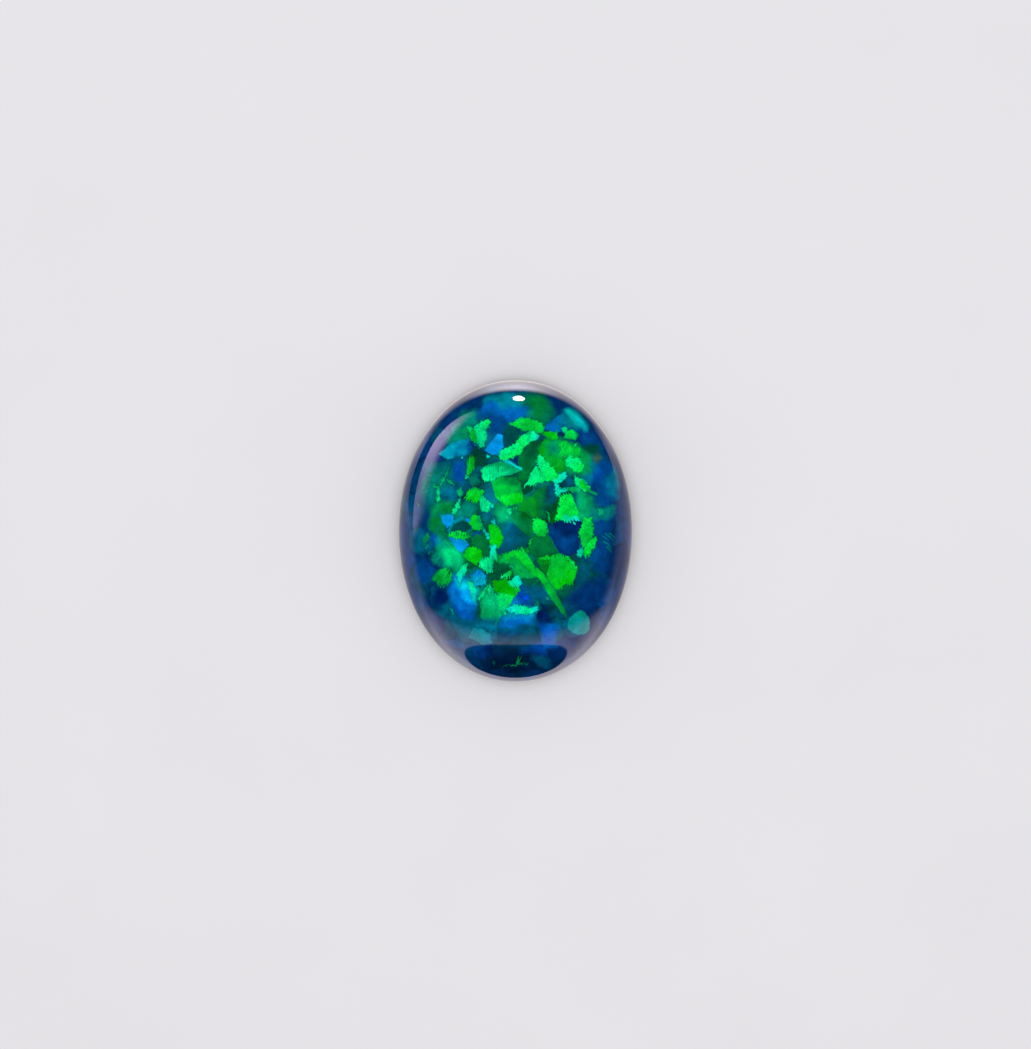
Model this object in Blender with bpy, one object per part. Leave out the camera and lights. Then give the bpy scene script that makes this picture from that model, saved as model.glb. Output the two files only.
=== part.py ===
"""A black opal cut as an oval cabochon: a high polished dome on a flat ground back.

The stone lies on its flat back with the dome up. Metres, +Z up. The origin is the middle
of the back face, +Y points to the end that the photograph shows on top, and +X to its right.
"""

import math

import bmesh
import bpy

MM = 0.001

# Driving dimensions of the stone.
LENGTH = 20.0 * MM
WIDTH = 15.4 * MM
DOME_RISE = 5.6 * MM
GIRDLE_HEIGHT = 0.35 * MM
BACK_BEVEL = 0.45 * MM

# The outline is a superellipse a touch fuller than a true ellipse, as a stone ground by hand is.
OUTLINE_POWER = 2.04

# How finely the solid is cut into flat faces.
POINTS_ROUND = 96
DOME_RINGS = 20
SMOOTH_UNDER = math.radians(30)

# The dark body colour, a dielectric with a glassy polish.
BODY_COLOUR = (0.004, 0.055, 0.075, 1.0)
BODY_ROUGHNESS = 0.06
OPAL_IOR = 1.45


def clear_scene():
    """Removes whatever the file holds."""
    for obj in list(bpy.data.objects):
        bpy.data.objects.remove(obj)


def signed_power(value, power):
    """value to a power, with its sign kept."""
    return math.copysign(abs(value) ** power, value)


def outline_point(turn, half_width, half_length):
    """The point of the oval at this turn, in radians from +X."""
    power = 2.0 / OUTLINE_POWER
    x = half_width * signed_power(math.cos(turn), power)
    y = half_length * signed_power(math.sin(turn), power)
    return x, y


def ring_sizes():
    """(half width, half length, height) of each ring, from the back face to just under the dome's top."""
    half_width = WIDTH / 2
    half_length = LENGTH / 2
    girdle_bottom = BACK_BEVEL
    girdle_top = BACK_BEVEL + GIRDLE_HEIGHT
    rings = [
        (half_width - BACK_BEVEL, half_length - BACK_BEVEL, 0.0),
        (half_width, half_length, girdle_bottom),
    ]
    for step in range(DOME_RINGS):
        angle = math.radians(90) * step / DOME_RINGS
        shrink = math.cos(angle)
        height = girdle_top + DOME_RISE * math.sin(angle)
        rings.append((half_width * shrink, half_length * shrink, height))
    return rings


def add_ring(bm, half_width, half_length, height):
    """Adds one oval loop of vertices and returns them in order."""
    verts = []
    for i in range(POINTS_ROUND):
        x, y = outline_point(math.tau * i / POINTS_ROUND, half_width, half_length)
        verts.append(bm.verts.new((x, y, height)))
    return verts


def join_rings(bm, lower, upper):
    """Closes the wall between two neighbouring loops."""
    for i in range(POINTS_ROUND):
        after = (i + 1) % POINTS_ROUND
        bm.faces.new((lower[i], lower[after], upper[after], upper[i]))


def opal_mesh():
    """The closed cabochon: flat back, small bevel, low upright girdle and dome."""
    bm = bmesh.new()
    rings = [add_ring(bm, *size) for size in ring_sizes()]
    for lower, upper in zip(rings, rings[1:]):
        join_rings(bm, lower, upper)
    bm.faces.new(list(reversed(rings[0])))
    crown = bm.verts.new((0.0, 0.0, BACK_BEVEL + GIRDLE_HEIGHT + DOME_RISE))
    top_ring = rings[-1]
    for i in range(POINTS_ROUND):
        bm.faces.new((top_ring[i], top_ring[(i + 1) % POINTS_ROUND], crown))
    bmesh.ops.recalc_face_normals(bm, faces=bm.faces)
    mesh = bpy.data.meshes.new("opal")
    bm.to_mesh(mesh)
    bm.free()
    mesh.shade_smooth()
    mesh.set_sharp_from_angle(angle=SMOOTH_UNDER)
    return mesh


def opal_material():
    """Dark opal with a glassy polish."""
    material = bpy.data.materials.new("black_opal")
    material.use_nodes = True
    shader = material.node_tree.nodes["Principled BSDF"]
    shader.inputs["Base Color"].default_value = BODY_COLOUR
    shader.inputs["Roughness"].default_value = BODY_ROUGHNESS
    shader.inputs["Metallic"].default_value = 0.0
    shader.inputs["IOR"].default_value = OPAL_IOR
    return material


def main():
    clear_scene()
    opal = bpy.data.objects.new("opal", opal_mesh())
    opal.data.materials.append(opal_material())
    bpy.context.scene.collection.objects.link(opal)


main()
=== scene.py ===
# %% [markdown]
# # A black opal, polished as an oval cabochon
#
# The stone is a domed oval, 20 mm long, with a flat ground back. It rests on that back on a
# pale table, and the camera looks down on the dome. Under the clear polish lie some two hundred thin
# flakes and soft patches of leaf green, mint, teal and blue, and between them the body is near black.
# The measured solid comes first, as a fixed frame. Everything below dresses it and never resizes it.

# %% Load the measured frame
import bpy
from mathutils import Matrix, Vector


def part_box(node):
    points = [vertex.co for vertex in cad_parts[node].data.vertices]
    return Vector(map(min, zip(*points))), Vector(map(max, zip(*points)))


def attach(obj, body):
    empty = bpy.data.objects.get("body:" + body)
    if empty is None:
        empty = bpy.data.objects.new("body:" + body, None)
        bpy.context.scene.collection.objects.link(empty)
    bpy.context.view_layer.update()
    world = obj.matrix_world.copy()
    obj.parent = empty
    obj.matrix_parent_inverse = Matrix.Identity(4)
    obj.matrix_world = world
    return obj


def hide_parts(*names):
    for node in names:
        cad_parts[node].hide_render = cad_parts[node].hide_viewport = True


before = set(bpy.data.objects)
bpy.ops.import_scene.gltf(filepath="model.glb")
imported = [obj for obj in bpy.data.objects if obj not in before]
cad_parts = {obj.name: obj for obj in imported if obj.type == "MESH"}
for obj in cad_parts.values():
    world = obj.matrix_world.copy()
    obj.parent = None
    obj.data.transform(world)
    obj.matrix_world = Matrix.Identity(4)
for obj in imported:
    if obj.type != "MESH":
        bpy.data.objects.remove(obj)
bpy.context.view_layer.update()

# %% [markdown]
# Blender works in metres, a gem cutter in millimetres. One constant turns one into the other, and the
# stone's width, length and height are read from the frame, so that they are stated only once.

# %% Units and sizes
import math

import bmesh
import bpy
from mathutils import Vector

MM = 0.001
stone_low, stone_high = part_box("opal")
HALF_WIDTH = (stone_high.x - stone_low.x) / 2 / MM
HALF_LENGTH = (stone_high.y - stone_low.y) / 2 / MM
HEIGHT = (stone_high.z - stone_low.z) / MM
BACK_BEVEL = 0.45
GIRDLE_HEIGHT = 0.35
GIRDLE_TOP = BACK_BEVEL + GIRDLE_HEIGHT
DOME_RISE = HEIGHT - GIRDLE_TOP
print(f"half width {HALF_WIDTH:.2f} mm, half length {HALF_LENGTH:.2f} mm, dome rise {DOME_RISE:.2f} mm")

# %% [markdown]
# The photograph is taken from 7 degrees above the stone's own axis, with a moderately long lens. A camera
# that looks straight down has no rotation at all, so a turn of minus 7 degrees about X is the whole pose.
# How fast level and upright lines run together in the photograph gives both the 7 degrees and the focal
# length in pixels, and the 1049 pixels of the picture's long side turn that into a lens.

# %% Camera
PICTURE_LONG_SIDE = 1049
FOCAL_PIXELS = 2263
SENSOR_MM = 36.0
CAMERA_TILT = math.radians(7)
CAMERA_DISTANCE = 149.6 * MM
CENTRE_ABOVE = 0.50 * MM

camera_data = bpy.data.cameras.new("camera")
camera_data.sensor_width = SENSOR_MM
camera_data.lens = SENSOR_MM * FOCAL_PIXELS / PICTURE_LONG_SIDE
camera_data.clip_start = 0.01
camera = bpy.data.objects.new("camera", camera_data)
bpy.context.scene.collection.objects.link(camera)
camera.rotation_euler = (-CAMERA_TILT, 0, 0)
towards_camera = Vector((0, math.sin(CAMERA_TILT), math.cos(CAMERA_TILT)))
camera_up = Vector((0, math.cos(CAMERA_TILT), -math.sin(CAMERA_TILT)))
girdle_centre = Vector((0, 0, GIRDLE_TOP * MM))
camera.location = girdle_centre + towards_camera * CAMERA_DISTANCE + camera_up * CENTRE_ABOVE
bpy.context.scene.camera = camera
print(f"lens {camera_data.lens:.1f} mm, {CAMERA_DISTANCE / MM:.0f} mm from the stone")

# %% [markdown]
# Colours are written as the usual six-digit sRGB codes. Shaders work in linear light, so one
# function turns a code into linear numbers. One more small function adds a node with its settings and
# links: a socket is given a plain value, or another node's output. A third makes a smooth ramp, which
# softens the border of a patch or a light.

# %% Helpers for materials
def linear(code):
    """An sRGB code such as '#02c93c' as linear RGBA."""
    channels = [int(code[i:i + 2], 16) / 255 for i in (1, 3, 5)]
    return tuple(c / 12.92 if c <= 0.04045 else ((c + 0.055) / 1.055) ** 2.4 for c in channels) + (1.0,)


def add(tree, kind, settings=None, sockets=None):
    """Adds a node, sets it (a lone word is its operation) and fills or links its input sockets."""
    node = tree.nodes.new("ShaderNode" + kind)
    if isinstance(settings, str):
        settings = {"operation": settings}
    for name, value in (settings or {}).items():
        setattr(node, name, value)
    for socket, value in (sockets or {}).items():
        if isinstance(value, bpy.types.NodeSocket):
            tree.links.new(value, node.inputs[socket])
        else:
            node.inputs[socket].default_value = value
    return node


def ramped(tree, value, start, end, low, high):
    """A level that runs smoothly from low at start to high at end, and stays there beyond."""
    return add(tree, "MapRange", {"interpolation_type": "SMOOTHSTEP", "clamp": False}, {
        "Value": value, "From Min": start, "From Max": end, "To Min": low, "To Max": high}).outputs[0]


# A Mix node set to colours takes them on its sockets 6 and 7 and gives the result on its output 2.
MIX_COLOUR_OUT = 2
print("leaf green in linear light:", [round(c, 3) for c in linear("#02c93c")])

# %% [markdown]
# The stone lies on a plain pale table. From below the table can't be seen, so that the ground back can be
# looked at too. The table is left out of the stone's reflections: the polished dome shows the light cards
# that come later, and would otherwise wear a grey veil over its whole edge.

# %% Table
TABLE_HALF_SIZE = 0.6
TABLE_GAP = 0.02 * MM
table_mesh = bpy.data.meshes.new("table")
corners = [(x * TABLE_HALF_SIZE, y * TABLE_HALF_SIZE, 0) for x, y in ((-1, -1), (1, -1), (1, 1), (-1, 1))]
table_mesh.from_pydata(corners, [], [(0, 1, 2, 3)])
table = bpy.data.objects.new("table", table_mesh)
table.location.z = -TABLE_GAP
table.visible_glossy = False
bpy.context.scene.collection.objects.link(table)

matt_table = bpy.data.materials.new("matt_white_board")
matt_table.use_nodes = True
tree = matt_table.node_tree
board = tree.nodes["Principled BSDF"]
board.inputs["Roughness"].default_value = 0.9
board.inputs["Specular IOR Level"].default_value = 0.0
grain = add(tree, "TexNoise", sockets={"Scale": 90.0, "Detail": 4.0})
tone = add(tree, "Mix", {"data_type": "RGBA"},
           {0: grain.outputs["Fac"], 6: linear("#e6e5e7"), 7: linear("#eceaec")})
tree.links.new(tone.outputs[MIX_COLOUR_OUT], board.inputs["Base Color"])
clear = add(tree, "BsdfTransparent")
side = add(tree, "NewGeometry").outputs["Backfacing"]
either = add(tree, "MixShader", sockets={0: side, 1: board.outputs[0], 2: clear.outputs[0]})
tree.links.new(either.outputs[0], tree.nodes["Material Output"].inputs["Surface"])
table.data.materials.append(matt_table)
print("table:", round(2 * TABLE_HALF_SIZE, 2), "m square")

# %% [markdown]
# A cabochon is ground on a flat lap, then rocked over felt until the dome is one unbroken curve. So the
# visible stone is built by formula from rings: the oval of each ring is the same superellipse, and its
# height follows a quarter ellipse. The frame's solid has 96 points round, and this one has four times as
# many, so that reflections run over it without a kink. The flat back and its bevel are ground, not polished.

# %% The fine stone
OUTLINE_POWER = 2.04
POINTS_ROUND = 384
DOME_RINGS = 96
BEVEL_RINGS = 3
SHARP_ANGLE = math.radians(30)
POLISHED = 0
GROUND = 1


def oval_point(turn, half_width, half_length, height):
    """A point of the oval at this turn from +X, in metres."""
    power = 2.0 / OUTLINE_POWER
    x = math.copysign(abs(math.cos(turn)) ** power, math.cos(turn)) * half_width
    y = math.copysign(abs(math.sin(turn)) ** power, math.sin(turn)) * half_length
    return Vector((x, y, height)) * MM


def ring_list():
    """(inset from the full oval, share of the full oval, height) of every ring, back face first."""
    rings = []
    for step in range(BEVEL_RINGS + 1):
        part = step / BEVEL_RINGS
        rings.append((BACK_BEVEL * (1 - part), 1.0, BACK_BEVEL * part))
    for step in range(DOME_RINGS):
        angle = math.radians(90) * step / DOME_RINGS
        rings.append((0.0, math.cos(angle), GIRDLE_TOP + DOME_RISE * math.sin(angle)))
    return rings


def build_stone():
    """The closed cabochon as one mesh, with the ground faces in the second material slot."""
    bm = bmesh.new()
    loops = []
    for inset, share, height in ring_list():
        half_width = (HALF_WIDTH - inset) * share
        half_length = (HALF_LENGTH - inset) * share
        turns = [math.tau * i / POINTS_ROUND for i in range(POINTS_ROUND)]
        loops.append([bm.verts.new(oval_point(t, half_width, half_length, height)) for t in turns])
    for level, (lower, upper) in enumerate(zip(loops, loops[1:])):
        for i in range(POINTS_ROUND):
            after = (i + 1) % POINTS_ROUND
            face = bm.faces.new((lower[i], lower[after], upper[after], upper[i]))
            face.material_index = GROUND if level < BEVEL_RINGS else POLISHED
    crown = bm.verts.new((0, 0, HEIGHT * MM))
    back = bm.verts.new((0, 0, 0))
    for i in range(POINTS_ROUND):
        after = (i + 1) % POINTS_ROUND
        bm.faces.new((loops[-1][i], loops[-1][after], crown))
        bm.faces.new((loops[0][after], loops[0][i], back)).material_index = GROUND
    bmesh.ops.recalc_face_normals(bm, faces=bm.faces)
    mesh = bpy.data.meshes.new("black_opal_stone")
    bm.to_mesh(mesh)
    bm.free()
    mesh.shade_smooth()
    mesh.set_sharp_from_angle(angle=SHARP_ANGLE)
    return mesh


stone = bpy.data.objects.new("black_opal_stone", build_stone())
bpy.context.scene.collection.objects.link(stone)
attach(stone, "root")
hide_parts("opal")
print("stone:", len(stone.data.polygons), "faces")

# %% [markdown]
# Opal is hydrated silica, glassy and brittle. Its colours come from stacks of tiny silica spheres that
# bend light, each stack flat and sharp-edged like a chip of mica. A black opal shows them over dark
# potch, which is opal with no order in it. The tones below were chosen with the photograph's colour
# measured at some sixty single places, and each has a plain name.

# %% The colours of the play
TONES = {
    "aqua": "#04e4cf", "mint": "#04f68e", "spring": "#02ea46", "lime": "#06ca02", "grass": "#02d022",
    "leaf": "#02bc3c", "emerald": "#02c67c", "jade": "#029a58", "moss": "#049c0c", "fern": "#01803a",
    "forest": "#016436", "olive": "#015c14", "pine": "#014b36", "bottle": "#014c4c", "teal": "#01927c",
    "lagoon": "#0191a2", "sea": "#017898", "petrol": "#015a7a", "cyan": "#02bcd0", "sky": "#04a4f4",
    "azure": "#0190e4", "cobalt": "#016cc4", "sapphire": "#0458f4", "royal": "#014cb4", "marine": "#01488c",
    "navy": "#01336e", "ink": "#012058", "night": "#01152e", "bronze": "#4a6a3c",
}
print(len(TONES), "tones")

# %% [markdown]
# Every flake is placed on a plan of the dome: u to the right and v to the top end, in millimetres, as the
# dome is seen from 7 degrees above its axis. The plan is a fixed function of the stone's own coordinates,
# so the flakes stay put in every view. The third number of a plan point is 1, which lets a single dot
# product give the distance to a straight edge.

# %% Plan coordinates
polished = bpy.data.materials.new("polished_black_opal")
polished.use_nodes = True
tree = polished.node_tree
polish = tree.nodes["Principled BSDF"]

place = add(tree, "TexCoord").outputs["Object"]
stone_mm = add(tree, "VectorMath", "SCALE", {0: place, "Scale": 1 / MM}).outputs[0]
axes = add(tree, "SeparateXYZ", sockets={0: stone_mm})
nearness = 1 / (CAMERA_DISTANCE / MM)
magnify = add(tree, "Math", "MULTIPLY_ADD",
              {0: axes.outputs["Z"], 1: nearness, 2: 1 - GIRDLE_TOP * nearness}).outputs[0]
slope_v = (0, math.cos(CAMERA_TILT), -math.sin(CAMERA_TILT))
flat_v = add(tree, "VectorMath", "DOT_PRODUCT", {0: stone_mm, 1: slope_v}).outputs["Value"]
raised_v = add(tree, "Math", "ADD", {0: flat_v, 1: GIRDLE_TOP * math.sin(CAMERA_TILT)}).outputs[0]
plan_u = add(tree, "Math", "MULTIPLY", {0: axes.outputs["X"], 1: magnify}).outputs[0]
plan_v = add(tree, "Math", "MULTIPLY", {0: raised_v, 1: magnify}).outputs[0]
plan = add(tree, "CombineXYZ", sockets={0: plan_u, 1: plan_v, 2: 1.0}).outputs[0]
print("plan scale grows by", round(nearness * DOME_RISE * 100, 1), "percent towards the crown")

# %% [markdown]
# Few flakes end in a clean line. Most edges wander a little, some crumble, and many are combed into teeth
# 0.15 mm apart, all leaning one way. Instead of drawing each tooth, the plan itself is shaken before an
# edge is measured on it: by slow noise, by fine noise, or by a zigzag whose height noise varies. Each
# shaken plan is made once and shared by all the flakes with that sort of edge.

# %% Shaken plans for the edges
TOOTH_SPACING = 0.15
TOOTH_LENGTH = 0.42
TOOTH_MIDDLE = 0.11
TOOTH_GROUP = 0.35
WANDER_SIZE = 0.7
WANDER_REACH = 0.14
DRIFT_SIZE = 1.4
DRIFT_REACH = 0.9
CRUMB_SIZE = 0.17
CRUMB_REACH = {"clean": 0.04, "gritty": 0.05, "drifting": 0.1, "crumbly": 0.2}
STREAKS_PER_MM = (1.6, 11)
GRAIN_SIZE = 0.13
CLOUD_SIZE = 0.9


def noise_vector(place, size, detail):
    """Noise of this size in mm as a vector with parts round 0.5."""
    noise = add(tree, "TexNoise", sockets={"Vector": place, "Scale": 1 / size, "Detail": detail})
    dice = add(tree, "SeparateColor", sockets={0: noise.outputs["Color"]}).outputs
    return add(tree, "CombineXYZ", sockets={0: dice[0], 1: dice[1], 2: dice[2]}).outputs[0]


slow = noise_vector(plan, WANDER_SIZE, 1.0)
fine = noise_vector(plan, CRUMB_SIZE, 1.0)


def shaken(base, noise, reach):
    """The plan moved by a noise of this reach in mm, to both sides."""
    centred = add(tree, "VectorMath", "SUBTRACT", {0: noise, 1: (0.5, 0.5, 0.5)}).outputs[0]
    return add(tree, "VectorMath", "MULTIPLY_ADD",
               {0: centred, 1: (2 * reach, 2 * reach, 0), 2: base}).outputs[0]


def combed(base, lean):
    """The plan pulled into teeth that point along this direction, in degrees from +u."""
    along = (math.cos(math.radians(lean)), math.sin(math.radians(lean)), 0)
    across = (-along[1], along[0], 0)
    row = add(tree, "VectorMath", "DOT_PRODUCT", {0: base, 1: across}).outputs["Value"]
    zigzag = add(tree, "Math", "PINGPONG", {0: row, 1: TOOTH_SPACING / 2}).outputs[0]
    growth = ramped(tree, tooth_height, 0.35, 0.7, 0.2, 2 * TOOTH_LENGTH / TOOTH_SPACING)
    tall = add(tree, "Math", "MULTIPLY_ADD", {0: zigzag, 1: growth, 2: -TOOTH_MIDDLE}).outputs[0]
    push = add(tree, "VectorMath", "SCALE", {0: along, "Scale": tall}).outputs[0]
    return add(tree, "VectorMath", "ADD", {0: base, 1: push}).outputs[0]


wavy = shaken(plan, slow, WANDER_REACH)
broad = noise_vector(plan, DRIFT_SIZE, 2.0)
drifting = shaken(shaken(plan, broad, DRIFT_REACH), fine, CRUMB_REACH["drifting"])
crumbly = shaken(wavy, fine, CRUMB_REACH["crumbly"])
gritty = shaken(wavy, fine, CRUMB_REACH["gritty"])
tooth_height = add(tree, "TexNoise", sockets={
    "Vector": plan, "Scale": 1 / TOOTH_GROUP, "Detail": 1.0}).outputs["Fac"]


def streaks(lean):
    """Noise drawn out along this direction: stripes 0.09 mm apart, as rows of teeth leave in a flake."""
    lengthwise, crosswise = STREAKS_PER_MM
    along = (lengthwise * math.cos(math.radians(lean)), lengthwise * math.sin(math.radians(lean)), 0)
    across = (-crosswise * math.sin(math.radians(lean)), crosswise * math.cos(math.radians(lean)), 0)
    down = add(tree, "VectorMath", "DOT_PRODUCT", {0: plan, 1: along}).outputs["Value"]
    over = add(tree, "VectorMath", "DOT_PRODUCT", {0: plan, 1: across}).outputs["Value"]
    drawn = add(tree, "CombineXYZ", sockets={0: down, 1: over}).outputs[0]
    return add(tree, "TexNoise", sockets={"Vector": drawn, "Scale": 1.0, "Detail": 1.0}).outputs["Fac"]


def spread(noise, low, high):
    """A noise, mostly 0.3 to 0.7, spread to run from low to high."""
    gain = (high - low) / 0.4
    return add(tree, "Math", "MULTIPLY_ADD", {0: noise, 1: gain, 2: low - 0.3 * gain}).outputs[0]


grains, clouds = (
    add(tree, "TexNoise", sockets={"Vector": plan, "Scale": 1 / size, "Detail": 2.0}).outputs["Fac"]
    for size in (GRAIN_SIZE, CLOUD_SIZE))
up_streaks, rise_streaks, fall_streaks = streaks(90), streaks(60), streaks(125)
NO_HOLES = -9.0
SHARP, SOFT = 0.05, 0.2
# Each kind of edge has its plan, its softness in mm, its grain, its holes, and the shade it casts.
EDGES = {
    "clean": (shaken(wavy, fine, CRUMB_REACH["clean"]), SHARP, spread(clouds, -0.35, 0.35), NO_HOLES, 0.25),
    "crumb": (crumbly, SHARP, spread(grains, -0.35, 0.35), spread(grains, -0.8, 0.02), 0.6),
}
for kind, lean, lines, shade in (("comb up", 90, up_streaks, 0.5), ("comb rise", 60, rise_streaks, 0.5),
                                 ("comb fall", 125, fall_streaks, 0.3)):
    EDGES[kind] = (combed(gritty, lean), SHARP, spread(lines, -0.35, 0.35), spread(lines, -0.8, 0.0), shade)
EDGES["deep"] = (wavy, SOFT, spread(clouds, -0.4, 0.4), NO_HOLES, 0.0)
print("edges:", ", ".join(EDGES))

# %% [markdown]
# Under the drawn flakes lies a mosaic that fills the whole stone in three dimensions, so that the sides
# show patches too and nothing is stretched down them. Cells 1.7 mm across take their colour from a ramp:
# greens in the heart, teal further out, and navy towards the girdle. Each cell also has its own light.

# %% The mosaic below
CELL_SIZE = 1.7
WARP_SIZE = 1.1
WARP_REACH = 1.1
GAP_WIDTH = 0.14
DARKEST_CELL = 0.55
DARKEST_GAP = 0.7
warp = noise_vector(place, WARP_SIZE * MM, 2.0)
warp_centred = add(tree, "VectorMath", "SUBTRACT", {0: warp, 1: (0.5, 0.5, 0.5)}).outputs[0]
warped = add(tree, "VectorMath", "MULTIPLY_ADD",
             {0: warp_centred, 1: (WARP_REACH,) * 3, 2: stone_mm}).outputs[0]
cells = add(tree, "TexVoronoi", {"voronoi_dimensions": "3D"}, {"Vector": warped, "Scale": 1 / CELL_SIZE})
gaps = add(tree, "TexVoronoi", {"voronoi_dimensions": "3D", "feature": "DISTANCE_TO_EDGE"},
           {"Vector": warped, "Scale": 1 / CELL_SIZE})
cell_dice = add(tree, "SeparateColor", sockets={0: cells.outputs["Color"]})

span = (1 / HALF_WIDTH, 1 / HALF_LENGTH, 0)
oval_place = add(tree, "VectorMath", "MULTIPLY", {0: stone_mm, 1: span}).outputs[0]
from_centre = add(tree, "VectorMath", "LENGTH", {0: oval_place}).outputs["Value"]

zone = ramped(tree, from_centre, 0.25, 0.95, 0.05, 0.72)
bluer = add(tree, "Math", "MULTIPLY_ADD", {0: axes.outputs["X"], 1: 0.012, 2: zone}).outputs[0]
pick = add(tree, "Math", "MULTIPLY_ADD", {0: cell_dice.outputs[0], 1: 0.34, 2: bluer}).outputs[0]
ramp = add(tree, "ValToRGB", sockets={0: pick})
RAMP_STOPS = ((0.0, "fern"), (0.14, "forest"), (0.28, "teal"), (0.4, "bottle"), (0.52, "sea"),
              (0.66, "petrol"), (0.82, "marine"), (1.0, "navy"))
stops = ramp.color_ramp.elements
while len(stops) < len(RAMP_STOPS):
    stops.new(0.5)
for stop, (position, tone_name) in zip(stops, RAMP_STOPS):
    stop.position = position
    stop.color = linear(TONES[tone_name])
cell_light = add(tree, "MapRange", {"clamp": False}, {
    "Value": cell_dice.outputs[1], "To Min": DARKEST_CELL, "To Max": 1.0}).outputs[0]
gap_light = ramped(tree, gaps.outputs["Distance"], 0.0, GAP_WIDTH, DARKEST_GAP, 1.0)
patch_light = add(tree, "Math", "MULTIPLY", {0: cell_light, 1: gap_light}).outputs[0]
mosaic = add(tree, "Mix", {"data_type": "RGBA"},
             {0: patch_light, 6: linear(TONES["night"]), 7: ramp.outputs[0]}).outputs[MIX_COLOUR_OUT]
print("mosaic cells of", CELL_SIZE, "mm")

# %% [markdown]
# Deep in the stone the patches are out of focus. Each is drawn as a soft oval of light: the plan is moved
# to the oval's centre, turned and divided by its size, and its length is then 1 at the edge.
# A row gives the tone, its strength, the centre, the half sizes and the turn in degrees.

# %% Soft patches deep in the stone
GLOWS = [
    ("navy", 0.9, (2.6, 8.3), (0.9, 0.8), 0),
    ("marine", 1.0, (4.8, 6.2), (1.1, 0.6), -50),
    ("marine", 1.0, (5.7, 4.0), (0.5, 1.6), 12),
    ("marine", 0.9, (5.6, 0.3), (0.6, 0.9), 0),
    ("marine", 0.8, (5.6, -1.6), (0.7, 0.9), 0),
    ("lagoon", 1.0, (-0.7, 8.55), (1.5, 0.45), 0),
    ("fern", 1.0, (1.3, 8.2), (0.85, 1.2), 20),
    ("cobalt", 1.0, (-0.8, 7.8), (1.5, 0.65), -8),
    ("ink", 0.8, (-2.2, 8.5), (0.45, 0.5), 0),
    ("marine", 1.0, (-1.1, 6.9), (0.8, 0.8), 0),
    ("bottle", 1.0, (-0.05, 6.3), (0.9, 0.9), 0),
    ("teal", 1.0, (-3.0, 7.5), (0.8, 0.7), 30),
    ("teal", 1.0, (-3.7, 6.45), (0.85, 0.5), 35),
    ("petrol", 1.0, (-3.8, 4.3), (0.8, 1.0), 0),
    ("royal", 0.8, (-3.6, 4.0), (0.5, 0.6), 0),
    ("pine", 1.0, (-2.45, 4.8), (0.75, 0.8), 0),
    ("sea", 0.9, (6.45, 3.5), (0.4, 1.3), -12),
    ("royal", 1.0, (5.25, 4.2), (0.45, 0.8), 0),
    ("jade", 0.9, (4.5, 4.5), (0.8, 0.8), 0),
    ("pine", 0.9, (4.9, 5.3), (0.9, 0.5), -20),
    ("sea", 1.0, (4.7, 3.6), (0.6, 0.5), 0),
    ("jade", 1.0, (4.5, 1.7), (0.6, 1.1), 0),
    ("teal", 0.8, (5.6, 1.35), (0.55, 0.5), 0),
    ("teal", 0.8, (-5.3, 3.1), (0.9, 1.3), 0),
    ("sea", 0.9, (-4.4, 2.4), (0.5, 0.5), 0),
    ("sea", 0.9, (-1.75, 2.2), (0.5, 1.1), -15),
    ("teal", 0.9, (-3.6, 1.3), (0.7, 0.5), 0),
    ("navy", 0.9, (-5.8, 0.5), (0.6, 0.9), 0),
    ("fern", 1.0, (-5.1, 0.5), (0.5, 0.9), 0),
    ("royal", 0.7, (-5.3, -0.8), (0.7, 0.4), -10),
    ("ink", 1.0, (-5.3, -2.0), (0.8, 0.7), 0),
    ("emerald", 0.8, (-4.3, -1.4), (0.9, 1.1), 15),
    ("mint", 0.6, (-4.2, -1.7), (0.5, 0.6), 0),
    ("marine", 1.0, (-5.9, -2.6), (0.5, 0.7), -25),
    ("ink", 1.0, (-5.1, -4.3), (0.9, 0.9), 0),
    ("petrol", 0.9, (-3.4, -5.9), (0.9, 0.5), 0),
    ("bottle", 0.9, (4.1, -2.6), (0.9, 1.4), 30),
    ("royal", 1.0, (0.7, -4.3), (0.8, 0.8), 0),
    ("petrol", 1.0, (1.6, -4.2), (0.7, 0.6), 0),
    ("cobalt", 0.9, (0.1, -5.8), (1.1, 0.4), 0),
    ("ink", 1.0, (1.8, -5.5), (0.6, 0.6), 0),
    ("navy", 1.0, (4.8, -4.2), (1.2, 1.0), 0),
    ("cobalt", 1.0, (2.25, -6.8), (0.5, 0.9), 8),
    ("royal", 0.5, (1.6, -7.7), (1.1, 0.5), 0),
    ("night", 0.9, (0.0, -8.6), (2.9, 1.0), 0),
    ("petrol", 0.7, (1.8, -8.5), (0.6, 0.4), 0),
]


def new_group(name, inputs):
    """A node group with these (label, socket kind) inputs and one colour output, and its input sockets."""
    group = bpy.data.node_groups.new(name, "ShaderNodeTree")
    for label, kind in inputs:
        group.interface.new_socket(label, in_out="INPUT", socket_type="NodeSocket" + kind)
    group.interface.new_socket("Colour", in_out="OUTPUT", socket_type="NodeSocketColor")
    return group, group.nodes.new("NodeGroupInput").outputs


def close_group(group, result):
    """Links the result to the group's output."""
    group.links.new(result, group.nodes.new("NodeGroupOutput").inputs["Colour"])


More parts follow.
